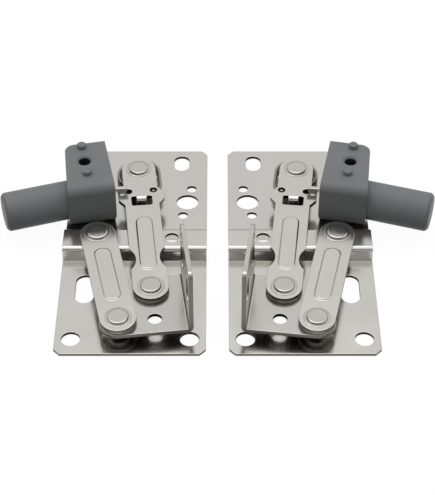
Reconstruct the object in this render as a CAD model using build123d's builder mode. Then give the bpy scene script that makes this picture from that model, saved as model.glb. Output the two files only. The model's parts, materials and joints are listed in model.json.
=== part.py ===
"""Pair of soft-close tip-out tray hinges, right-hand and left-hand.

Each hinge is a four-bar linkage in pressed sheet steel. Two links swing on a base plate and carry
an angle bracket, whose upright flange is screwed to a tray front. A torsion spring pulls the linkage
shut and a plastic damper slows the last part of the travel.

Everything is modelled for the right-hand hinge, with X pointing outward from the middle of the pair,
Y toward the far end of the plate and Z up. The left-hand hinge is its mirror image in the plane X = 0.
The undersides of both base plates lie in the plane Z = 0.
"""

import os
from math import atan2, cos, degrees, pi, radians, sin, sqrt, tan

from build123d import *

os.makedirs("parts", exist_ok=True)

# Base plate
pair_gap = 7.6
plate_width = 50.0
plate_length = 105.0
plate_sheet = 1.2
plate_corner_cut = 2.1
ridge_centre_y = -1.9
ridge_rise = 5.0
ridge_half_top = 4.4
ridge_half_base = 5.4
ridge_bend = 0.6

# Holes in the base plate; insets run from its long sides, and near and far from its two ends
corner_hole_inset = 5.4
corner_hole_near = 6.7
corner_hole_diameter = 6.3
end_slot_inset = 9.5
end_slot_far = 7.3
end_slot_width = 5.6
end_slot_length = 8.4
side_slot_inset = 8.6
side_slot_near = 30.3
side_slot_width = 6.3
side_slot_length = 13.6
sight_hole_offset = 8.2
sight_hole_near = 16.1
sight_hole_diameter = 5.4

# Damper's seat on the plate, measured from the spring link's pivot
peg_group_offset = 17.9
peg_group_before_pivot = 10.3
peg_group_turn = 11.4
peg_pitch = 7.45
peg_hole_diameter = 3.5
boss_hole_diameter = 7.9
stake_depth = 0.6
stake_spread = 0.55

# Pivots
spring_pivot_past_ridge = 35.4
plain_pivot_offset = 12.9
plain_pivot_past_ridge = 0.4
pivot_hole_diameter = 4.7
fixed_clearance = 0.02
running_clearance = 0.06
fit_clearance = 0.1
axial_play = 0.05

# Links
link_sheet = 1.5
link_width = 12.2
spring_link_length = 61.84
spring_link_lean = 6.03
rib_width = 5.9
rib_height = 0.4
rib_wall = 0.2
rib_slope = 45.0
spring_rib_start = 26.7
spring_rib_margin = 8.0
plain_rib_margin = 8.1
ear_half_width = 8.2
ear_start = 11.0
ear_end = 19.8
ear_far_corner = 2.2
ear_near_corner = 2.9
window_width = 7.4
window_length = 5.0
window_start = 15.2
window_corner = 0.8
tongue_width = 3.6
tongue_bend = 0.3
tongue_lap = 0.5
tongue_drop = 3.0
scallop_radius = 7.4
scallop_depth = 2.0
scallop_before_joint = 13.8
leg_hole_diameter = 2.8
leg_hole_offset = 4.5
leg_hole_start = 12.4
tab_face = 13.75
tab_reach = 9.3
tab_inner = 4.7
tab_root = 6.0
tab_rise = 2.65
tab_wing_height = 0.95
tab_bend = 0.7

# Angle bracket
bracket_sheet = 1.5
bracket_turn = 7.2
bracket_depth = 26.2
bend_to_spring_joint = 10.7
near_edge_to_spring_joint = 19.8
plain_joint_out = 12.1
plain_joint_near = 13.4
bracket_hole_near = 13.5
bracket_far_width = 20.5
bracket_bend = 0.7
flange_rise = 24.1
flange_corner = 2.0
flange_slot_width = 4.6
flange_slot_length = 9.5
flange_slot_pitch = 16.0
flange_slot_rise = 13.0

# Rivets, washers and bush
head_skirt_radius = 4.7
head_skirt_slope = 0.4
head_skirt_height = 0.15
head_radius = 3.6
head_height = 0.8
head_edge = 0.3
tail_radius = 3.4
tail_height = 0.9
flush_tail_spread = 1.0
washer_radius = 5.9
washer_thickness = 0.5
bush_radius = 6.0
open_shank_radius = 1.75
open_joint_clearance = 2.3
keeper_radius = 5.6

# Torsion spring
wire_diameter = 1.1
coil_radius = 7.4
coil_turns = 2.75
coil_end_turn = 180
anchor_leg_length = 6.0
leg_run = 8.4
leg_bend = 1.2
leg_clearance = 0.08
leg_depth = 0.15

# Damper
damper_turn = 17.5
damper_before_pegs = 7.6
damper_height = 9.5
block_height = 19.5
block_inner = 8.2
block_outer = 7.2
block_taper = 5.1
block_near = 16.0
block_far = 9.8
block_corner = 3.6
block_head_edge = 3.0
block_foot_edge = 8.0
block_end_wall = 2.0
cylinder_radius = 6.85
cylinder_reach = 31.1
cylinder_wall = 1.5
cylinder_rim = 1.0
peg_diameter = 3.2
peg_rise = 1.5
top_group_shift = 0.45
screw_hole_diameter = 4.0
screw_hole_depth = 4.5
screw_recess_diameter = 5.8
screw_recess_depth = 0.8
tip_radius = 2.4
tip_edge = 0.5
tip_gap = 0.25
tip_length = 3.6
rod_radius = 1.25
rod_socket = 1.4
piston_start = 17.0
piston_thickness = 4.0
seal_inset = 1.6
seal_thickness = 3.0

# Levels above the surface that the plates lie on
ridge_top = plate_sheet + ridge_rise
bracket_bottom = ridge_top - bracket_sheet
link_bottom = ridge_top + washer_thickness + axial_play
link_top = link_bottom + link_sheet
plate_inner = pair_gap / 2
plate_centre = plate_inner + plate_width / 2
plate_near = -plate_length / 2
plate_far = plate_length / 2
spring_pivot_y = ridge_centre_y + spring_pivot_past_ridge
damper_level = plate_sheet + damper_height
block_top = plate_sheet + block_height
pivot_hole_radius = pivot_hole_diameter / 2
rivet_radius = pivot_hole_radius - running_clearance
rib_hollow = rib_width - 2 * rib_wall
both_sides = (-1, 1)
standing = (Align.CENTER, Align.CENTER, Align.MIN)
hanging = (Align.CENTER, Align.CENTER, Align.MAX)


def turned_plane(x, y, turn):
    """Horizontal plane at Z = 0 whose own X axis is turned clockwise from the hinge's."""
    across = (cos(radians(turn)), -sin(radians(turn)), 0)
    return Plane(origin=(x, y, 0), x_dir=across, z_dir=(0, 0, 1))


def on_plate(plane, x, y):
    """Place, on the plates' underside, of a point given in a turned plane's own axes."""
    return plane.from_local_coords(Vector(x, y, 0))


spring_link_plane = turned_plane(plate_centre, spring_pivot_y, spring_link_lean)
spring_pivot = spring_link_plane.origin
spring_joint = on_plate(spring_link_plane, 0, -spring_link_length)
bracket_plane = turned_plane(spring_joint.X, spring_joint.Y, bracket_turn)
plain_joint = on_plate(bracket_plane, plain_joint_out, -plain_joint_near)
plain_pivot = Vector(plate_centre + plain_pivot_offset, ridge_centre_y + plain_pivot_past_ridge, 0)
plain_run = plain_pivot - plain_joint
plain_link_length = plain_run.length
plain_link_lean = degrees(atan2(plain_run.X, plain_run.Y))
plain_link_plane = turned_plane(plain_pivot.X, plain_pivot.Y, plain_link_lean)
peg_group_y = spring_pivot_y - peg_group_before_pivot
peg_plane = turned_plane(plate_centre + peg_group_offset, peg_group_y, peg_group_turn)
top_group_plane = turned_plane(peg_plane.origin.X + top_group_shift, peg_group_y, peg_group_turn)
damper_place = on_plate(peg_plane, 0, -damper_before_pegs)
damper_plane = turned_plane(damper_place.X, damper_place.Y, damper_turn)
# Plane across the damper's axis: its X axis points to the far end and its Z axis outward
damper_section = Plane(
    origin=damper_plane.origin + Vector(0, 0, damper_level),
    x_dir=damper_plane.y_dir,
    z_dir=damper_plane.x_dir,
)


def across(offset, y):
    """Two places at equal offsets to both sides of a plane's own Y axis."""
    return [(side * offset, y) for side in both_sides]


def write_pair(piece, label):
    """Write a right-hand piece and its mirror image for the left-hand hinge."""
    for hand, solid in (("right", piece), ("left", mirror(piece, about=Plane.YZ))):
        solid.label = f"{hand}_{label}"
        export_step(solid, f"parts/{hand}_{label}.step")


def link_outline(length, width, near=0.0):
    """Round-ended outline that runs from the plane's origin, or near it, toward the near end."""
    with BuildSketch() as outline:
        with Locations((0, -near - length / 2)):
            SlotCenterToCenter(length, width, rotation=90)
    return outline.sketch


def rib(floor, length, width, near):
    """Tapered, round-ended boss of a pressed rib, standing on a horizontal plane."""
    with BuildPart() as body:
        with BuildSketch(floor):
            add(link_outline(length - rib_width, width, near + rib_width / 2))
        extrude(amount=rib_height, taper=rib_slope)
    return body.part


def rivet(centre, tail, shank_radius=rivet_radius, head_seat=link_top + axial_play):
    """Rivet with a stepped head; tail is a pair of levels between which its lower end is upset."""
    with BuildPart() as body:
        with Locations(centre + Vector(0, 0, tail[0])):
            Cylinder(tail_radius, tail[1] - tail[0], align=standing)
        with Locations(centre + Vector(0, 0, tail[1])):
            Cylinder(shank_radius, head_seat - tail[1], align=standing)
        with Locations(centre + Vector(0, 0, head_seat)):
            Cone(
                head_skirt_radius, head_skirt_radius - head_skirt_slope, head_skirt_height, align=standing
            )
            Cylinder(head_radius, head_height, align=standing)
        chamfer(body.edges().group_by(Axis.Z)[-1], length=head_edge)
    return body.part


def ring(centre, bottom, thickness, outer_radius, inner_radius):
    """Flat ring on a vertical axis, such as a washer or a bush."""
    with BuildPart() as body:
        with BuildSketch(Plane.XY.offset(bottom)):
            with Locations((centre.X, centre.Y)):
                Circle(outer_radius)
                Circle(inner_radius, mode=Mode.SUBTRACT)
        extrude(amount=thickness)
    return body.part


def quarter_turn(start, start_way, end, end_way):
    """Two arcs that meet smoothly and join two points along the given unit directions."""
    chord = end - start
    ways = start_way + end_way
    spread = 2 * (1 - start_way.dot(end_way))
    reach = (sqrt(chord.dot(ways) ** 2 + spread * chord.dot(chord)) - chord.dot(ways)) / spread
    middle = (start + start_way * reach + end - end_way * reach) / 2
    first = TangentArc(start, middle, tangent=start_way)
    return [first, TangentArc(middle, end, tangent=first % 1)]


def coil(radius, foot, rise, turns, end_angle, sense):
    """Arcs of a coil about the Z axis, a quarter turn at a time, with level ends; sense is 1 or -1."""
    steps = round(4 * turns)
    points = []
    ways = []
    for step in range(steps + 1):
        angle = radians(end_angle - sense * 90 * (steps - step))
        climb = rise / turns / (2 * pi) if 0 < step < steps else 0
        points.append(Vector(radius * cos(angle), radius * sin(angle), foot + rise * step / steps))
        ways.append(Vector(-sense * radius * sin(angle), sense * radius * cos(angle), climb).normalized())
    arcs = []
    for step in range(steps):
        arcs += quarter_turn(points[step], ways[step], points[step + 1], ways[step + 1])
    return arcs


def bent_wire(points, bend):
    """Straight runs of wire through the points, with each corner rounded off."""
    runs = []
    start = points[0]
    for before, corner, after in zip(points, points[1:], points[2:]):
        way_in = (corner - before).normalized()
        way_out = (after - corner).normalized()
        runs.append(Line(start, corner - way_in * bend))
        start = corner + way_out * bend
        runs += quarter_turn(corner - way_in * bend, way_in, start, way_out)
    runs.append(Line(start, points[-1]))
    return runs


def tube(edges, diameter):
    """Round wire swept along joined edges."""
    path = Wire(edges)
    section = Plane(origin=path @ 0, z_dir=path % 0) * Circle(diameter / 2)
    return sweep(section, path=path)


def least_gap(edges, diameter, samples=600):
    """Least gap between stretches of one wire that lie further apart along it than three diameters."""
    path = Wire(edges)
    step = path.length / samples
    skip = round(3 * diameter / step)
    points = [path @ (index / samples) for index in range(samples + 1)]
    apart = [
        (points[low] - points[high]).length
        for low in range(samples + 1)
        for high in range(low + skip, samples + 1)
    ]
    return min(apart) - diameter


# Base plate: one pressed sheet with a raised ridge across it.
# Its holes are alike on both sides of the long centre line, because one plate serves both hands.
ridge_line = [
    (plate_near, 0),
    (ridge_centre_y - ridge_half_base, 0),
    (ridge_centre_y - ridge_half_top, ridge_rise),
    (ridge_centre_y + ridge_half_top, ridge_rise),
    (ridge_centre_y + ridge_half_base, 0),
    (plate_far, 0),
]
peg_places = [on_plate(peg_plane, 0, side * peg_pitch) for side in both_sides]
small_hole_places = [
    (side * (place.X - plate_centre), place.Y) for side in both_sides for place in peg_places
]
with BuildPart() as base_plate:
    with BuildSketch(Plane.YZ.offset(plate_inner)):
        with BuildLine():
            FilletPolyline(*ridge_line, radius=ridge_bend)
            offset(amount=plate_sheet, side=Side.LEFT)
        make_face()
    extrude(amount=plate_width)
    chamfer(base_plate.edges().filter_by(Axis.Z), length=plate_corner_cut)
    with BuildSketch(Plane((plate_centre, 0, 0))):
        with Locations((0, spring_pivot_y)):
            Circle(pivot_hole_radius)
        with Locations(across(plain_pivot_offset, plain_pivot.Y)):
            Circle(pivot_hole_radius)
        with Locations(across(plate_width / 2 - corner_hole_inset, plate_near + corner_hole_near)):
            Circle(corner_hole_diameter / 2)
        with Locations(across(sight_hole_offset, plate_near + sight_hole_near)):
            Circle(sight_hole_diameter / 2)
        with Locations(across(peg_group_offset, peg_group_y)):
            Circle(boss_hole_diameter / 2)
        with Locations(small_hole_places):
            Circle(peg_hole_diameter / 2)
        with Locations(across(plate_width / 2 - end_slot_inset, plate_far - end_slot_far)):
            SlotOverall(end_slot_length, end_slot_width, rotation=90)
        with Locations(across(plate_width / 2 - side_slot_inset, plate_near + side_slot_near)):
            SlotOverall(side_slot_length, side_slot_width, rotation=90)
    extrude(amount=plate_sheet + ridge_rise, mode=Mode.SUBTRACT)
    # Only the holes that take the pegs' staked ends are flared underneath; the spare ones stay straight
    with Locations([place + Vector(0, 0, stake_depth / 2) for place in peg_places]):
        Cone(
            peg_hole_diameter / 2 + stake_spread, peg_hole_diameter / 2, stake_depth, mode=Mode.SUBTRACT
        )
    with Locations(spring_pivot + Vector(0, 0, tail_height / 2)):
        Cone(
            pivot_hole_radius + flush_tail_spread, pivot_hole_radius, tail_height, mode=Mode.SUBTRACT
        )
write_pair(base_plate.part, "base_plate")

# Spring link: the wider link, with ears, a window with a bent tongue, and an upturned strike tab
ear_line = [
    (link_width / 2, -tab_face - tab_bend),
    (ear_half_width, -tab_face - tab_bend),
    (ear_half_width, ear_near_corner - ear_end),
    (link_width / 2, -ear_end),
    (-link_width / 2, -ear_end),
    (-ear_half_width, ear_near_corner - ear_end),
    (-ear_half_width, -ear_start - ear_far_corner),
    (-link_width / 2, -ear_start),
]
tab_top = link_sheet + tab_rise
tab_wing_foot = tab_top - tab_wing_height
tab_line = [
    (tab_inner, tab_top),
    (tab_inner, tab_wing_foot),
    (tab_root, link_sheet + tab_bend),
    (ear_half_width, link_sheet + tab_bend),
    (tab_reach, tab_wing_foot),
    (tab_reach, tab_top),
]
link_floor = spring_link_plane.offset(link_bottom)
scallop_offset = link_width / 2 - scallop_depth + scallop_radius
spring_rib_length = spring_link_length - spring_rib_start - spring_rib_margin
tab_front = Plane(on_plate(link_floor, 0, -tab_face), x_dir=link_floor.x_dir, z_dir=-link_floor.y_dir)
tab_run = Plane(
    on_plate(link_floor, ear_half_width, -tab_face), x_dir=-link_floor.y_dir, z_dir=-link_floor.x_dir
)
tongue_run = Plane(on_plate(link_floor, 0, -window_start), x_dir=-link_floor.y_dir, z_dir=-link_floor.x_dir)
with BuildPart() as spring_link:
    with BuildSketch(link_floor):
        add(link_outline(spring_link_length, link_width))
        Polygon(*ear_line, align=None)
        with Locations(across(scallop_offset, scallop_before_joint - spring_link_length)):
            Circle(scallop_radius, mode=Mode.SUBTRACT)
        with Locations(across(leg_hole_offset, -leg_hole_start)):
            Circle(leg_hole_diameter / 2, mode=Mode.SUBTRACT)
        with Locations((0, -window_start - window_length / 2)):
            RectangleRounded(window_width, window_length, window_corner, mode=Mode.SUBTRACT)
        with Locations((0, 0), (0, -spring_link_length)):
            Circle(pivot_hole_radius, mode=Mode.SUBTRACT)
    extrude(amount=link_sheet)
    # Strike tab, bent up across the outer ear, with its top wider than its root
    with BuildSketch(tab_run):
        with BuildLine():
            FilletPolyline(
                (2 * tab_bend, link_sheet),
                (0, link_sheet),
                (0, tab_top),
                radius=tab_bend,
            )
            offset(amount=link_sheet, side=Side.LEFT)
        make_face()
    extrude(amount=ear_half_width - tab_root)
    with BuildSketch(tab_front):
        Polygon(*tab_line, align=None)
    extrude(amount=-link_sheet)
    # Tongue, bent down from the window's far edge
    with BuildSketch(tongue_run):
        with BuildLine():
            FilletPolyline(
                (-tongue_lap, link_sheet),
                (tongue_bend + link_sheet, link_sheet),
                (tongue_bend + link_sheet, -tongue_bend - tongue_drop),
                radius=tongue_bend + link_sheet,
            )
            offset(amount=link_sheet, side=Side.RIGHT)
        make_face()
    extrude(amount=tongue_width / 2, both=True)
    # Pressed rib, raised above and hollow below
    add(rib(link_floor.offset(link_sheet), spring_rib_length, rib_width, spring_rib_start))
    add(rib(link_floor, spring_rib_length, rib_hollow, spring_rib_start), mode=Mode.SUBTRACT)
write_pair(spring_link.part, "spring_link")

# Plain link: the narrower mate, with round ends and a pressed rib
plain_link_floor = plain_link_plane.offset(link_bottom)
plain_rib_length = plain_link_length - 2 * plain_rib_margin
with BuildPart() as plain_link:
    with BuildSketch(plain_link_floor):
        add(link_outline(plain_link_length, link_width))
        Circle(pivot_hole_radius, mode=Mode.SUBTRACT)
        with Locations((0, -plain_link_length)):
            Circle(open_shank_radius + fixed_clearance, mode=Mode.SUBTRACT)
    extrude(amount=link_sheet)
    add(rib(plain_link_floor.offset(link_sheet), plain_rib_length, rib_width, plain_rib_margin))
    add(rib(plain_link_floor, plain_rib_length, rib_hollow, plain_rib_margin), mode=Mode.SUBTRACT)
write_pair(plain_link.part, "plain_link")

# Angle bracket: a flat leaf under the links, bent up into the flange that carries the tray front
bracket_floor = bracket_plane.offset(bracket_bottom)
leaf_start = bracket_bend + bracket_sheet - bend_to_spring_joint
leaf_near = -near_edge_to_spring_joint
leaf_far = bracket_depth - near_edge_to_spring_joint
far_corner = bracket_far_width - bend_to_spring_joint
leaf_corner_radius = near_edge_to_spring_joint - plain_joint_near
bend_face = -bend_to_spring_joint
flange_run = Plane(
    on_plate(bracket_floor, 0, leaf_far), x_dir=bracket_floor.x_dir, z_dir=-bracket_floor.y_dir
)
flange_face = Plane(
    on_plate(bracket_floor, bend_face, (leaf_near + leaf_far) / 2),
    x_dir=bracket_floor.y_dir,
    z_dir=bracket_floor.x_dir,
)
flange_top = bracket_sheet + flange_rise
slot_level = bracket_sheet + flange_slot_rise
with BuildPart() as angle_bracket:
    with BuildSketch(bracket_floor):
        with Locations((plain_joint_out, -plain_joint_near)):
            Circle(leaf_corner_radius)
        with BuildLine():
            Polyline(
                (leaf_start, leaf_near),
                (plain_joint_out, leaf_near),
                (far_corner, leaf_far),
                (leaf_start, leaf_far),
                close=True,
            )
        make_face()
        make_hull()
        with Locations((plain_joint_out, -plain_joint_near)):
            Circle(open_shank_radius + open_joint_clearance, mode=Mode.SUBTRACT)
        with Locations((0, 0)):
            Circle(pivot_hole_radius, mode=Mode.SUBTRACT)
        with Locations((0, -bracket_hole_near)):
            Circle(pivot_hole_radius, mode=Mode.SUBTRACT)
    extrude(amount=bracket_sheet)
    with BuildSketch(flange_run):
        with BuildLine():
            FilletPolyline(
                (leaf_start, 0),
                (bend_face - bracket_sheet, 0),
                (bend_face - bracket_sheet, flange_top),
                radius=bracket_bend + bracket_sheet,
            )
            offset(amount=bracket_sheet, side=Side.RIGHT)
        make_face()
    extrude(amount=bracket_depth)
    flange_corners = angle_bracket.edges().group_by(Axis.Z)[-1].group_by(SortBy.LENGTH)[0]
    fillet(flange_corners, radius=flange_corner)
    with BuildSketch(flange_face):
        with Locations(across(flange_slot_pitch / 2, slot_level)):
            SlotOverall(flange_slot_length, flange_slot_width, rotation=90)
    extrude(amount=-bracket_sheet, mode=Mode.SUBTRACT)
write_pair(angle_bracket.part, "angle_bracket")

# Rivets
write_pair(rivet(spring_joint, (bracket_bottom - tail_height, bracket_bottom)), "spring_link_lower_rivet")
write_pair(rivet(plain_pivot, (ridge_rise - tail_height, ridge_rise)), "plain_link_upper_rivet")
keeper_bottom = bracket_bottom - axial_play - washer_thickness
write_pair(
    rivet(plain_joint, (keeper_bottom - tail_height, keeper_bottom), open_shank_radius, link_top),
    "plain_link_lower_rivet",
)
with BuildPart() as spring_link_upper_rivet:
    add(rivet(spring_pivot, (0, tail_height)))
    with Locations(spring_pivot):
        Cylinder(tail_radius, tail_height, align=standing, mode=Mode.SUBTRACT)
        Cone(
            rivet_radius + flush_tail_spread,
            rivet_radius,
            tail_height,
            align=standing,
        )
write_pair(spring_link_upper_rivet.part, "spring_link_upper_rivet")

# Washers and the spring's bush
washer_hole = rivet_radius + fixed_clearance
write_pair(ring(spring_joint, ridge_top, washer_thickness, washer_radius, washer_hole), "spring_link_washer")
write_pair(ring(plain_pivot, ridge_top, washer_thickness, washer_radius, washer_hole), "ridge_washer")
open_hole = open_shank_radius + fixed_clearance
write_pair(
    ring(plain_joint, ridge_top + axial_play, washer_thickness, washer_radius, open_hole),
    "plain_link_washer",
)
write_pair(ring(plain_joint, keeper_bottom, washer_thickness, keeper_radius, open_hole), "keeper_washer")
bush_height = link_bottom - axial_play - plate_sheet
write_pair(ring(spring_pivot, plate_sheet, bush_height, bush_radius, washer_hole), "spring_bush")

# Torsion spring: coiled around the bush, with its upper leg turned up into the spring link's hole
wire_radius = wire_diameter / 2
coil_foot = plate_sheet + axial_play + wire_radius
coil_top = link_bottom - leg_clearance - wire_radius
turns = coil(coil_radius, coil_foot, coil_top - coil_foot, coil_turns, coil_end_turn, 1)
anchor_way = turns[0] % 0
anchor_leg = Line(turns[0] @ 0 - anchor_way * anchor_leg_length, turns[0] @ 0)
working_leg = bent_wire(
    [
        turns[-1] @ 1,
        Vector(-coil_radius, -leg_run, coil_top),
        Vector(-leg_hole_offset, -leg_hole_start, coil_top),
        Vector(-leg_hole_offset, -leg_hole_start, link_top - leg_depth),
    ],
    leg_bend,
)
spring_wire = [anchor_leg] + turns + working_leg
print(f"torsion spring: least gap {least_gap(spring_wire, wire_diameter):.2f} mm")
write_pair(spring_link_plane.location * tube(spring_wire, wire_diameter), "torsion_spring")

# Damper housing: a moulded block with a rounded near side, pegged to the plate
bore_radius = cylinder_radius + fixed_clearance
inner_reach = block_inner / cos(radians(damper_turn - peg_group_turn))
cylinder_start = block_end_wall - inner_reach
outer_slope = tan(radians(block_taper))
block_plan = [
    (-block_inner, -block_near),
    (block_outer + outer_slope * block_near, -block_near),
    (block_outer - outer_slope * block_far, block_far),
    (-block_inner, block_far),
]
block_side = Plane(peg_plane.origin, x_dir=peg_plane.y_dir, z_dir=peg_plane.x_dir)
with BuildPart() as damper_housing:
    with BuildSketch(block_side.offset(-block_inner)) as profile:
        with Locations((-block_near, plate_sheet)):
            Rectangle(block_near + block_far, block_height, align=(Align.MIN, Align.MIN))
        for corner_height, edge in ((plate_sheet, block_foot_edge), (block_top, block_head_edge)):
            corner = profile.vertices().sort_by_distance((-block_near, corner_height, 0))[0]
            fillet(corner, radius=edge)
    extrude(amount=block_inner + block_outer + block_head_edge)
    with BuildSketch(peg_plane.offset(plate_sheet)) as plan:
        Polygon(*block_plan, align=None)
        fillet(plan.vertices().group_by(Axis.Y)[-1].sort_by(Axis.X)[-1], radius=block_corner)
    extrude(amount=block_height, mode=Mode.INTERSECT)
    # Bore for the cylinder, open outward, with a hole for the plunger's tip
    with BuildSketch(damper_section.offset(cylinder_start)):
        Circle(bore_radius)
    extrude(amount=cylinder_reach, mode=Mode.SUBTRACT)
    with BuildSketch(damper_section.offset(cylinder_start)):
        Circle(tip_radius + running_clearance)
    extrude(amount=-block_end_wall - tip_radius, mode=Mode.SUBTRACT)
    # Pegs above and below, the lower ones staked into the plate, and a boss that fits the plate's hole
    peg_ends = [(peg_plane, plate_sheet, -plate_sheet), (top_group_plane, block_top, peg_rise)]
    for plane, level, rise in peg_ends:
        with BuildSketch(plane.offset(level)):
            with Locations([(0, side * peg_pitch) for side in both_sides]):
                Circle(peg_diameter / 2)
        extrude(amount=rise)
    with Locations([place + Vector(0, 0, stake_depth / 2) for place in peg_places]):
        Cone(peg_diameter / 2 + stake_spread, peg_diameter / 2, stake_depth)
    with Locations(peg_plane.origin + Vector(0, 0, plate_sheet)):
        Cylinder(
            boss_hole_diameter / 2 - fit_clearance,
            plate_sheet,
            align=hanging,
        )
    with Locations(peg_plane.origin):
        Cylinder(
            screw_hole_diameter / 2,
            plate_sheet + screw_hole_depth,
            align=standing,
            mode=Mode.SUBTRACT,
        )
    with Locations(top_group_plane.origin + Vector(0, 0, block_top)):
        Cylinder(
            screw_hole_diameter / 2,
            screw_hole_depth,
            align=hanging,
            mode=Mode.SUBTRACT,
        )
        Cone(
            screw_hole_diameter / 2,
            screw_recess_diameter / 2,
            screw_recess_depth,
            align=hanging,
            mode=Mode.SUBTRACT,
        )
write_pair(damper_housing.part, "damper_housing")


def turned(start, length, radius, bore=0.0):
    """Round piece on the damper's axis, with an optional bore; start is measured outward."""
    with BuildPart() as body:
        with BuildSketch(damper_section.offset(start)):
            Circle(radius)
            if bore:
                Circle(bore, mode=Mode.SUBTRACT)
        extrude(amount=length)
    return body.part


# Damper cylinder: a tube closed at its outer end
cylinder_length = cylinder_reach - cylinder_start
cylinder_bore = cylinder_radius - cylinder_wall
with BuildPart() as damper_cylinder:
    add(turned(cylinder_start, cylinder_length, cylinder_radius))
    outer_end = damper_cylinder.faces().sort_by(Axis((0, 0, 0), damper_plane.x_dir))[-1]
    chamfer(outer_end.edges(), length=cylinder_rim)
    add(
        turned(cylinder_start, cylinder_length - cylinder_wall, cylinder_bore), mode=Mode.SUBTRACT
    )
write_pair(damper_cylinder.part, "damper_cylinder")

# Plunger: the tip that the strike tab presses, its rod and the piston
tab_edge = on_plate(spring_link_plane, tab_reach, -tab_face)
tip_start = (tab_edge - damper_plane.origin).dot(damper_plane.x_dir) + tip_gap
rod_hole = rod_radius + fixed_clearance
rod_start = tip_start + tip_length - rod_socket
with BuildPart() as plunger_tip:
    add(turned(tip_start, tip_length, tip_radius))
    tip_face = plunger_tip.faces().sort_by(Axis((0, 0, 0), damper_plane.x_dir))[0]
    fillet(tip_face.edges(), radius=tip_edge)
    add(turned(rod_start, rod_socket, rod_hole), mode=Mode.SUBTRACT)
write_pair(plunger_tip.part, "plunger_tip")
write_pair(turned(rod_start, piston_start + piston_thickness - rod_start, rod_radius), "piston_rod")
write_pair(turned(piston_start, piston_thickness, cylinder_bore - running_clearance, rod_hole), "piston")

# Seal pressed into the cylinder's inner end
write_pair(
    turned(
        cylinder_start + seal_inset,
        seal_thickness,
        cylinder_bore - fixed_clearance,
        rod_radius + running_clearance,
    ),
    "rod_seal",
)
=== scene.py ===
# %% [markdown]
# # A pair of soft-close tip-out tray hinges
#
# Two mirror-image hinges lie on a white table, seen from the front and above. Each one is pressed,
# nickel-plated sheet steel with riveted links, a torsion spring and a dark grey moulded damper. The
# shapes come from the imported model. This lesson gives them rolled edges, real finishes and studio light.
#
# The first cell loads the imported model.

# %% Load the imported model
import json
from math import cos, degrees, pi, radians, sin

import bmesh
import bpy
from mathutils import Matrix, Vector
from mathutils.bvhtree import BVHTree


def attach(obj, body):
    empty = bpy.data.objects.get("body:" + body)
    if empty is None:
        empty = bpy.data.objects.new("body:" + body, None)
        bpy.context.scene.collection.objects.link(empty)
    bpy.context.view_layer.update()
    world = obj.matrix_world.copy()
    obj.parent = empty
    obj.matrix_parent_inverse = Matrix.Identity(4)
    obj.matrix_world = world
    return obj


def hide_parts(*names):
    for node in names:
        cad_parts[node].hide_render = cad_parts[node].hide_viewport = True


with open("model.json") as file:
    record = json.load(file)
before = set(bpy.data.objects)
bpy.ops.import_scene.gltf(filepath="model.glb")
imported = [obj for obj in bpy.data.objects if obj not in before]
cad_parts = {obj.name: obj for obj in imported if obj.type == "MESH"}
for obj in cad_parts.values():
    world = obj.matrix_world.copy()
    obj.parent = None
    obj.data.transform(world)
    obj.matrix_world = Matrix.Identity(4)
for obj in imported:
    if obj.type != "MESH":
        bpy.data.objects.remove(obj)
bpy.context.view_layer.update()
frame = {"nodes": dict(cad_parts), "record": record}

MM = 0.001
subparts = {entry["node"]: entry for entry in frame["record"]["subparts"]}

# %% [markdown]
# ## Camera
#
# The photograph was taken with a long lens from about forty degrees above the table. A long lens far
# away and a short lens close by can show an object at the same size, but only the right distance makes
# the near edges of the plates as much wider than the far ones as they are in the picture. The camera
# is placed on a circle around the middle of the pair and turned to look at it.

# %% Camera
CAMERA_LIFT = radians(42.5)
CAMERA_DISTANCE = 524.5 * MM
CAMERA_LENS = 108.3

camera_data = bpy.data.cameras.new("front_camera")
camera_data.lens = CAMERA_LENS
camera = bpy.data.objects.new("front_camera", camera_data)
bpy.context.scene.collection.objects.link(camera)
camera.location = (0, -CAMERA_DISTANCE * cos(CAMERA_LIFT), CAMERA_DISTANCE * sin(CAMERA_LIFT))
camera.rotation_euler = (pi / 2 - CAMERA_LIFT, 0, 0)
bpy.context.scene.camera = camera
print("camera at", [round(value, 3) for value in camera.location])

# %% [markdown]
# ## Colours and nodes
#
# A screen shows sRGB colours, and a shader works with linear ones, so each colour is written as the hex
# value that the eye sees and turned to linear by one function. A material in Blender is a tree of nodes.
# They can be added by hand one line at a time, but one small function that adds a node, sets its inputs
# and joins its links lets each finish below read as a short list of what it is made of.

# %% Colour and node helpers
def linear(hex_colour):
    """Linear colour of an sRGB hex value."""
    parts = [int(hex_colour[place:place + 2], 16) / 255 for place in (1, 3, 5)]
    return [part / 12.92 if part <= 0.04045 else ((part + 0.055) / 1.055) ** 2.4 for part in parts] + [1.0]


def add_node(tree, kind, inputs, **settings):
    """Add a node; each input is given a value, or a socket that it is linked to."""
    node = tree.nodes.new("ShaderNode" + kind)
    for name, value in settings.items():
        setattr(node, name, value)
    for key, value in inputs.items():
        if isinstance(value, bpy.types.NodeSocket):
            tree.links.new(value, node.inputs[key])
        else:
            node.inputs[key].default_value = value
    return node.outputs


def new_material(name):
    """Empty material, and the tree that holds its nodes."""
    material = bpy.data.materials.new(name)
    material.use_nodes = True
    material.node_tree.nodes.clear()
    return material, material.node_tree


WHITE = linear("#ffffff")
print("mid grey #808080 is", round(linear("#808080")[0], 3), "linear")

# %% [markdown]
# ## Table
#
# The hinges lie on seamless white paper. It has to show as pure white, but it must not throw as much
# light back at the dampers as a white sheet would, because their front faces are nearly black in the
# photograph. The paper is therefore a dark grey that only the camera and mirror-like surfaces see glow,
# and its own shading on top of that glow keeps the soft shadow under the metal.

# %% Table
TABLE_SIZE = 6.0
TABLE_GLOW = 0.95
PAPER_GREY = linear("#444444")
CONTACT_GAP = 0.02 * MM

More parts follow.
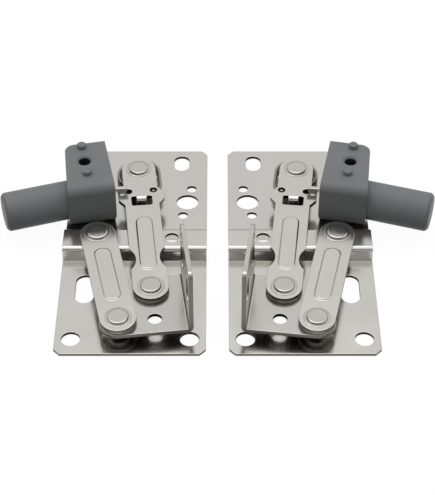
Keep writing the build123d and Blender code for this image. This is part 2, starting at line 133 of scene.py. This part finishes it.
bpy.ops.object.select_all(action="DESELECT")
bpy.ops.mesh.primitive_plane_add(size=TABLE_SIZE, location=(0, 0, -CONTACT_GAP))
table = bpy.context.object
table.name = "table_top"

paper, tree = new_material("seamless_white_paper")
ray = add_node(tree, "LightPath", {})
seen = add_node(tree, "Math", {0: ray["Is Camera Ray"], 1: ray["Is Glossy Ray"]}, operation="MAXIMUM")
seen = add_node(tree, "Math", {0: seen[0], 1: ray["Is Transmission Ray"]}, operation="MAXIMUM")
matt = add_node(tree, "BsdfDiffuse", {"Color": PAPER_GREY})
glow = add_node(tree, "Emission", {"Color": WHITE, "Strength": TABLE_GLOW})
lifted = add_node(tree, "AddShader", {0: matt[0], 1: glow[0]})
surface = add_node(tree, "MixShader", {0: seen[0], 1: matt[0], 2: lifted[0]})
add_node(tree, "OutputMaterial", {"Surface": surface[0]})
table.data.materials.append(paper)
print("table top at", round(table.location.z / MM, 3), "mm")

# %% [markdown]
# ## Studio light
#
# Polished metal shows the room around it. Level faces here mirror the wall behind the table, faces that
# lean toward the camera mirror the ceiling, and upright ones mirror the floor and the front. The
# photograph has a bright ceiling, a bright back wall that darkens toward the horizon, and a dim front
# with one bright band. That is why the rolled edges gleam, the far ends of the pressed ribs are dark,
# and the fronts of the dampers are dim while the ridge's wall is not. The world is painted with those
# levels by direction, and the camera itself sees plain white.

# %% World
BACK_HORIZON, BACK_WALL = 0.3, 1.0
FRONT_HORIZON, FRONT_BAND, FRONT_WALL = 0.04, 1.1, 0.28
CEILING = 1.4
# Where each change starts and ends: a direction's height runs from 0 at the horizon to 1 overhead,
# and its depth from -1 at the front to 1 at the back
BACK_RISE = (0.05, 0.6)
BAND_START = (0.22, 0.31)
BAND_END = (0.4, 0.48)
CEILING_EDGE = (0.74, 0.96)
FRONT_TO_BACK = (-0.7, -0.05)

world = bpy.data.worlds.new("light_tent")
bpy.context.scene.world = world
world.use_nodes = True
tree = world.node_tree
tree.nodes.clear()
ray = add_node(tree, "LightPath", {})
way = add_node(tree, "TexCoord", {})
split = add_node(tree, "SeparateXYZ", {0: way["Generated"]})
back = add_node(tree, "MapRange", {
    0: split["Z"], 1: BACK_RISE[0], 2: BACK_RISE[1], 3: BACK_HORIZON, 4: BACK_WALL,
})
band = add_node(tree, "MapRange", {
    0: split["Z"], 1: BAND_START[0], 2: BAND_START[1], 3: FRONT_HORIZON, 4: FRONT_BAND,
})
front = add_node(tree, "MapRange", {
    0: split["Z"], 1: BAND_END[0], 2: BAND_END[1], 3: band[0], 4: FRONT_WALL,
})
turn = add_node(tree, "MapRange", {0: split["Y"], 1: FRONT_TO_BACK[0], 2: FRONT_TO_BACK[1]})
around = add_node(tree, "Mix", {0: turn[0], 2: front[0], 3: back[0]})
above = add_node(tree, "MapRange", {0: split["Z"], 1: CEILING_EDGE[0], 2: CEILING_EDGE[1]})
level = add_node(tree, "Mix", {0: above[0], 2: around[0], 3: CEILING})
room = add_node(tree, "Background", {"Color": WHITE, "Strength": level[0]})
white = add_node(tree, "Background", {"Color": WHITE, "Strength": 1.0})
mixed = add_node(tree, "MixShader", {0: ray["Is Camera Ray"], 1: room[0], 2: white[0]})
add_node(tree, "OutputWorld", {"Surface": mixed[0]})
print("world levels", BACK_HORIZON, BACK_WALL, FRONT_HORIZON, FRONT_BAND, FRONT_WALL, CEILING)

# %% [markdown]
# One large soft lamp hangs above and behind the pair, as a soft box does, and gives the light a
# direction that a world alone lacks.

# %% Soft box
LAMP_PLACE = Vector((-0.15, 0.35, 1.1))
LAMP_WIDTH, LAMP_DEPTH = 0.9, 0.6
LAMP_POWER = 2.0

lamp_data = bpy.data.lights.new("soft_box", "AREA")
lamp_data.shape = "RECTANGLE"
lamp_data.size = LAMP_WIDTH
lamp_data.size_y = LAMP_DEPTH
lamp_data.energy = LAMP_POWER
lamp = bpy.data.objects.new("soft_box", lamp_data)
bpy.context.scene.collection.objects.link(lamp)
lamp.location = LAMP_PLACE
lamp.rotation_euler = (-LAMP_PLACE).to_track_quat("-Z", "Y").to_euler()
print("soft box of", LAMP_POWER, "W")

# %% [markdown]
# ## Nickel plate
#
# The sheet parts are cold-rolled steel with bright nickel over it. Nickel is a slightly warm white
# metal. Rolling leaves a very fine grain under the plating, and barrel plating leaves the surface a
# little cloudy, so the eye sees soft, slightly streaked reflections and not a mirror. A photograph of
# brushed metal could be wrapped around the parts, but a procedural grain has no seams and keeps its
# real size, so the streaks here are a noise stretched along the rolling direction.

# %% Nickel
CLOUD_SCALE = 1 / (12 * MM)
# Real rolled grain is about 0.05 mm wide; it is drawn 0.4 mm wide, so that it shows at this size
GRAIN_SCALE = 1 / (0.4 * MM)
GRAIN_STRETCH = (1.0, 0.08, 1.0)
GRAIN_DEPTH = 0.1 * MM
GRAIN_STRENGTH = 0.05
# Cloud and grain multiplied seldom leave this span, so gloss is spread over it
PATCHY_SPAN = (0.12, 0.42)


def nickel(name, low, high, roughness):
    """Plated metal with cloudy gloss and a rolled grain, between two tints and between two roughnesses."""
    material, tree = new_material(name)
    place = add_node(tree, "TexCoord", {})
    cloud = add_node(tree, "TexNoise", {"Vector": place["Object"], "Scale": CLOUD_SCALE, "Detail": 3.0})
    tint = add_node(tree, "Mix", {0: cloud[0], 6: linear(low), 7: linear(high)}, data_type="RGBA")
    along = add_node(tree, "Mapping", {"Vector": place["Object"], "Scale": GRAIN_STRETCH})
    grain = add_node(tree, "TexNoise", {"Vector": along[0], "Scale": GRAIN_SCALE, "Detail": 2.0})
    patchy = add_node(tree, "Math", {0: cloud[0], 1: grain[0]}, operation="MULTIPLY")
    gloss = add_node(tree, "MapRange", {
        0: patchy[0], 1: PATCHY_SPAN[0], 2: PATCHY_SPAN[1], 3: roughness[0], 4: roughness[1],
    })
    relief = add_node(tree, "Bump", {"Height": grain[0], "Strength": GRAIN_STRENGTH, "Distance": GRAIN_DEPTH})
    metal = add_node(tree, "BsdfPrincipled", {
        "Base Color": tint[2], "Metallic": 1.0, "Roughness": gloss[0], "Normal": relief[0],
    })
    add_node(tree, "OutputMaterial", {"Surface": metal[0]})
    return material


# Bright plating over smooth sheet mirrors the room softly
bright_nickel = nickel("bright_nickel_on_rolled_steel", "#bebbb6", "#c6c3be", (0.16, 0.24))
# The brackets get a slightly darker and rougher copy of the sheet's nickel
bracket_nickel = nickel("satin_nickel_on_bracket_steel", "#b3b0ab", "#bbb8b3", (0.18, 0.26))
# Tumbling polishes the rivets, so their reflections are a little sharper than the sheet's
rivet_nickel = nickel("tumbled_nickel_rivet_steel", "#b3b0ab", "#bfbcb7", (0.12, 0.2))
# Drawn wire has an oxide film from tempering, which makes it the darkest of the skins
spring_wire = nickel("oil_tempered_spring_wire", "#8f8c88", "#a19e99", (0.2, 0.3))
# Shearing tears the steel, so an outer edge is rougher and duller than the skin of the sheet; its tint is
# also painted darker, as painted shade for the shadowed table that the edge would mirror
rough_edge_painted_shade = nickel("cut_edge_rough_with_painted_shade", "#6b6864", "#7d7a75", (0.3, 0.45))
# The walls of the holes are painted near black, as painted shade for the dark inside of a hole
hole_wall_painted_shade = nickel("painted_shade_in_pierced_holes", "#24221f", "#32302d", (0.4, 0.55))
print("metals", bright_nickel.name, bracket_nickel.name, rivet_nickel.name, spring_wire.name)
print("cut steel", rough_edge_painted_shade.name, hole_wall_painted_shade.name)

# %% [markdown]
# ## Damper plastic
#
# The damper's housing and cylinder are moulded acetal, filled dark grey. Acetal is waxy: the mould's
# fine spark texture gives it a soft sheen, with no sharp reflection. The tint drifts a little, and a
# very fine bump stands for the spark texture.

# %% Plastic
PLASTIC_DRIFT_SCALE = 1 / (9 * MM)
# Real spark texture is about 0.03 mm wide; it is drawn 0.35 mm wide, so that it shows at this size
SPARK_SCALE = 1 / (0.35 * MM)
SPARK_STRENGTH = 0.12
SPARK_DEPTH = 0.1 * MM

moulded_acetal, tree = new_material("moulded_grey_acetal")
place = add_node(tree, "TexCoord", {})
drift = add_node(tree, "TexNoise", {"Vector": place["Object"], "Scale": PLASTIC_DRIFT_SCALE, "Detail": 3.0})
tint = add_node(tree, "Mix", {0: drift[0], 6: linear("#6d6f70"), 7: linear("#757778")}, data_type="RGBA")
spark = add_node(tree, "TexNoise", {"Vector": place["Object"], "Scale": SPARK_SCALE, "Detail": 2.0})
relief = add_node(tree, "Bump", {"Height": spark[0], "Strength": SPARK_STRENGTH, "Distance": SPARK_DEPTH})
plastic = add_node(tree, "BsdfPrincipled", {
    "Base Color": tint[2], "Roughness": 0.45, "IOR": 1.48, "Specular IOR Level": 0.2, "Normal": relief[0],
})
add_node(tree, "OutputMaterial", {"Surface": plastic[0]})

# %% [markdown]
# Two more finishes are hardly seen. A core pin leaves a hole's wall matt, and so little light gets in
# that the eye sees almost black, so the walls of deep holes in the plastic are matt and painted near
# black, as painted shade. It could be left to the light alone, but a shallow hole with lit walls would
# look like a dimple. The rod's seal is nitrile rubber, which is matt black with a trace of dust.

# %% Painted shade in deep holes, and rubber
HOLE_DRIFT_SCALE = 1 / (3 * MM)
DUST_SCALE = 1 / (1.5 * MM)

# Painted shade: the walls of deep holes in the plastic are tinted near black
deep_hole, tree = new_material("matt_acetal_painted_shade_in_deep_holes")
place = add_node(tree, "TexCoord", {})
shade = add_node(tree, "TexNoise", {"Vector": place["Object"], "Scale": HOLE_DRIFT_SCALE})
tint = add_node(tree, "Mix", {0: shade[0], 6: linear("#202122"), 7: linear("#292a2b")}, data_type="RGBA")
matt = add_node(tree, "BsdfPrincipled", {"Base Color": tint[2], "Roughness": 0.7, "Specular IOR Level": 0.2})
add_node(tree, "OutputMaterial", {"Surface": matt[0]})

seal_rubber, tree = new_material("black_nitrile_rubber")
place = add_node(tree, "TexCoord", {})
dust = add_node(tree, "TexNoise", {"Vector": place["Object"], "Scale": DUST_SCALE, "Detail": 3.0})
tint = add_node(tree, "Mix", {0: dust[0], 6: linear("#1d1d1e"), 7: linear("#2b2b2c")}, data_type="RGBA")
rubber = add_node(tree, "BsdfPrincipled", {"Base Color": tint[2], "Roughness": 0.6, "IOR": 1.52})
add_node(tree, "OutputMaterial", {"Surface": rubber[0]})
print("plastics", moulded_acetal.name, deep_hole.name, seal_rubber.name)

# %% [markdown]
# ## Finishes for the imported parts
#
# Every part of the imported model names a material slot. Each one gets the finish of its slot here, and
# the parts that are seen best are replaced below by copies with rolled edges.

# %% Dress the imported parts
finishes = {
    "nickel_plate": bright_nickel,
    "plain_steel": rivet_nickel,
    "spring_steel": spring_wire,
    "damper_plastic": moulded_acetal,
    "plunger_plastic": moulded_acetal,
    "seal_rubber": seal_rubber,
}
for name, entry in subparts.items():
    part = frame["nodes"][name]
    part.data.materials.clear()
    part.data.materials.append(finishes[entry["material_slot"]])
print("dressed", len(subparts), "parts")

# %% [markdown]
# ## Rolled edges
#
# No pressed or moulded part has a knife edge. The punch rolls the sheet's upper rim over, tumbling
# rounds the rest, and a mould's corners are radiused. The rounding is only a fifth to a third of a
# millimetre, yet it is what catches the light and draws the bright line around every real part.
#
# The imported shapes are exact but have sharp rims. They could be modelled again from primitives, but
# then two shapes would have to be kept alike. So each one is copied: the copy's loose triangles are
# merged, flat triangles are joined into whole faces, and a Bevel modifier rounds every rim.

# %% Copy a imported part
MERGE_DISTANCE = 0.002 * MM
FLAT_ANGLE = radians(0.4)
RIM_ANGLE = radians(33)


def only_select(piece):
    """Leave one object selected and active, because operators act on all that is selected."""
    bpy.ops.object.select_all(action="DESELECT")
    piece.select_set(True)
    bpy.context.view_layer.objects.active = piece


def merged_copy(node):
    """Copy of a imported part, on its own mesh, with its loose triangles merged."""
    piece = bpy.data.objects.new(node + "_rounded", frame["nodes"][node].data.copy())
    bpy.context.scene.collection.objects.link(piece)
    only_select(piece)
    bpy.ops.mesh.customdata_custom_splitnormals_clear()
    bpy.ops.object.mode_set(mode="EDIT")
    bpy.ops.mesh.select_all(action="SELECT")
    bpy.ops.mesh.remove_doubles(threshold=MERGE_DISTANCE)
    bpy.ops.object.mode_set(mode="OBJECT")
    return piece


def join_flat_faces(piece):
    """Turn each flat patch of triangles of one finish into whole faces."""
    only_select(piece)
    bpy.ops.object.mode_set(mode="EDIT")
    bpy.ops.mesh.select_all(action="SELECT")
    bpy.ops.mesh.dissolve_limited(angle_limit=FLAT_ANGLE, delimit={"MATERIAL"})
    bpy.ops.object.mode_set(mode="OBJECT")


print("a rim is an edge that turns by more than", round(degrees(RIM_ANGLE)), "degrees")

# %% [markdown]
# The Bevel modifier can find sharp edges by itself, but then it rounds all of them alike. Here each
# rim gets a bevel weight instead, from a loop that can tell an outward edge from a hollow one. Hollow
# corners of a moulding stay crisp, where a rounding would have no room, and rims that pass close to a
# neighbour are rounded only a little.

# %% Round the rims of a copy
TIGHT_WEIGHT = 0.15


def round_rims(piece, rim, segments, hollow_weight=0.0, tight_place=None, tight_reach=0.0):
    """Round every rim of a copy to the given width, less near the tight place."""
    shape = bmesh.new()
    shape.from_mesh(piece.data)
    weight = shape.edges.layers.float.new("bevel_weight_edge")
    for edge in shape.edges:
        if edge.calc_face_angle(0.0) <= RIM_ANGLE:
            continue
        edge[weight] = 1.0 if edge.is_convex else hollow_weight
        middle = (edge.verts[0].co + edge.verts[1].co) / 2
        if tight_place and (middle - tight_place).xy.length < tight_reach:
            edge[weight] = TIGHT_WEIGHT
    shape.to_mesh(piece.data)
    shape.free()
    bevel = piece.modifiers.new("rims", "BEVEL")
    bevel.width = rim
    bevel.segments = segments
    bevel.limit_method = "WEIGHT"
    bevel.use_clamp_overlap = False
    bevel.loop_slide = False
    only_select(piece)
    bpy.ops.object.modifier_apply(modifier="rims")
    bpy.ops.object.shade_smooth_by_angle(angle=RIM_ANGLE)
    weighted = piece.modifiers.new("flat_faces", "WEIGHTED_NORMAL")
    weighted.keep_sharp = True
    bpy.ops.object.modifier_apply(modifier="flat_faces")


def stand_for(piece, node):
    """Let a copy ride on its part's body, and hide the part."""
    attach(piece, body_of[node])
    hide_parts(node)


body_of = {node: body for body, nodes in frame["record"]["behaviour"]["bodies"].items() for node in nodes}

# %% [markdown]
# ## Sheet parts and their cut edges
#
# The base plates, the links and the angle brackets are cut from sheet. Their skins are bright and their
# cut edges are rougher. The cut edges are also painted darker and the walls of their holes near black,
# as painted shade, and those dark lines are what makes them read as thick metal. The finish could be
# chosen by a face's direction, but the flange stands upright and is skin all the same. So the metal
# itself is measured: a face is skin where the far side of the sheet lies one thickness behind it. A cut
# face that looks across at another wall close by is in a hole.

# %% Find the cut edges
SKIN_DEPTH = 1.6 * MM
HOLE_REACH = 15 * MM
# A ray starts this far off its own face, so that it doesn't hit that face
RAY_START = 0.02 * MM
UPRIGHT = 0.5
SKIN, SHEARED, PIERCED = 0, 1, 2


def shell_of(mesh):
    """Search tree of a mesh's faces, for measuring with rays."""
    corners = [vertex.co for vertex in mesh.vertices]
    return BVHTree.FromPolygons(corners, [face.vertices for face in mesh.polygons])


def mark_cut_edges(piece):
    """Give cut faces the sheared finish, painted darker, or the near-black painted shade of a hole wall;
    returns how many of each there are.
    """
    mesh = piece.data
    mesh.materials.append(rough_edge_painted_shade)
    mesh.materials.append(hole_wall_painted_shade)
    shell = shell_of(mesh)
    for face in mesh.polygons:
        if abs(face.normal.z) > UPRIGHT:
            continue
        depth = shell.ray_cast(face.center - face.normal * RAY_START, -face.normal)[3]
        if depth is None or depth > SKIN_DEPTH:
            opposite = shell.ray_cast(face.center + face.normal * RAY_START, face.normal, HOLE_REACH)[3]
            face.material_index = SHEARED if opposite is None else PIERCED
    indices = [face.material_index for face in mesh.polygons]
    return indices.count(SHEARED), indices.count(PIERCED)


print("sheet is thinner than", SKIN_DEPTH / MM, "mm")

# %% Sheet parts
SHEET_RIM = 0.18 * MM
SHEET_RIM_SEGMENTS = 2
LEG_HOLE_REACH = 2.4 * MM


def leg_end(hand):
    """Top end of the torsion spring's upright leg, which stands in its hole in the spring link."""
    points = [vertex.co for vertex in frame["nodes"][hand + "_torsion_spring"].data.vertices]
    return max(points, key=lambda point: point.z)


for hand in ("left", "right"):
    for part in ("base_plate", "spring_link", "plain_link", "angle_bracket"):
        node = f"{hand}_{part}"
        piece = merged_copy(node)
        if part == "angle_bracket":
            piece.data.materials[SKIN] = bracket_nickel
        counts = mark_cut_edges(piece)
        join_flat_faces(piece)
        round_rims(
            piece, SHEET_RIM, SHEET_RIM_SEGMENTS,
            hollow_weight=1.0, tight_place=leg_end(hand), tight_reach=LEG_HOLE_REACH,
        )
        stand_for(piece, node)
        print(piece.name, len(piece.data.polygons), "faces; cut and pierced triangles:", counts)

# %% [markdown]
# ## Rivets, washers, spring and damper
#
# The rivets are headed cold and tumbled, so their rims are rounder than the sheet's, and the plastic is
# rounder still. The spring is wire and has no rims, but its copy is merged so that it shades smoothly.
# Deep holes, whose walls get painted shade, are found as in the sheet, by looking across them.

# %% Find the deep holes
HOLE_SPAN = 4.5 * MM
DEEP = 1


def mark_deep_holes(piece):
    """Give the walls that face one another across a narrow hole in the plastic their painted shade."""
    mesh = piece.data
    # A steel piece keeps its own finish there
    is_plastic = mesh.materials[SKIN] == moulded_acetal
    mesh.materials.append(deep_hole if is_plastic else mesh.materials[SKIN])
    shell = shell_of(mesh)
    for face in mesh.polygons:
        across = shell.ray_cast(face.center + face.normal * RAY_START, face.normal, HOLE_SPAN)[3]
        if across is not None and abs(face.normal.z) < UPRIGHT:
            face.material_index = DEEP


print("a deep hole is narrower than", HOLE_SPAN / MM, "mm")

# %% Round parts and mouldings
RIVET_RIM = 0.3 * MM
WASHER_RIM = 0.12 * MM
ROUND_RIM_SEGMENTS = 3
RIMS = {
    "spring_link_upper_rivet": RIVET_RIM,
    "spring_link_lower_rivet": RIVET_RIM,
    "plain_link_upper_rivet": RIVET_RIM,
    "plain_link_lower_rivet": RIVET_RIM,
    "ridge_washer": WASHER_RIM,
    "spring_link_washer": WASHER_RIM,
    "plain_link_washer": WASHER_RIM,
    "keeper_washer": WASHER_RIM,
    "damper_housing": 0.35 * MM,
    "damper_cylinder": 0.3 * MM,
    "plunger_tip": 0.2 * MM,
    "torsion_spring": 0.05 * MM,
}
for hand in ("left", "right"):
    for part, rim in RIMS.items():
        node = f"{hand}_{part}"
        piece = merged_copy(node)
        if part.endswith("rivet"):
            piece.data.materials[SKIN] = rivet_nickel
        mark_deep_holes(piece)
        join_flat_faces(piece)
        round_rims(piece, rim, ROUND_RIM_SEGMENTS)
        stand_for(piece, node)
        print(piece.name, len(piece.data.polygons), "faces")

# %% [markdown]
# ## Finish
#
# The last cell sets the colour view to Standard.

# %% Colour view
bpy.context.scene.view_settings.view_transform = "Standard"
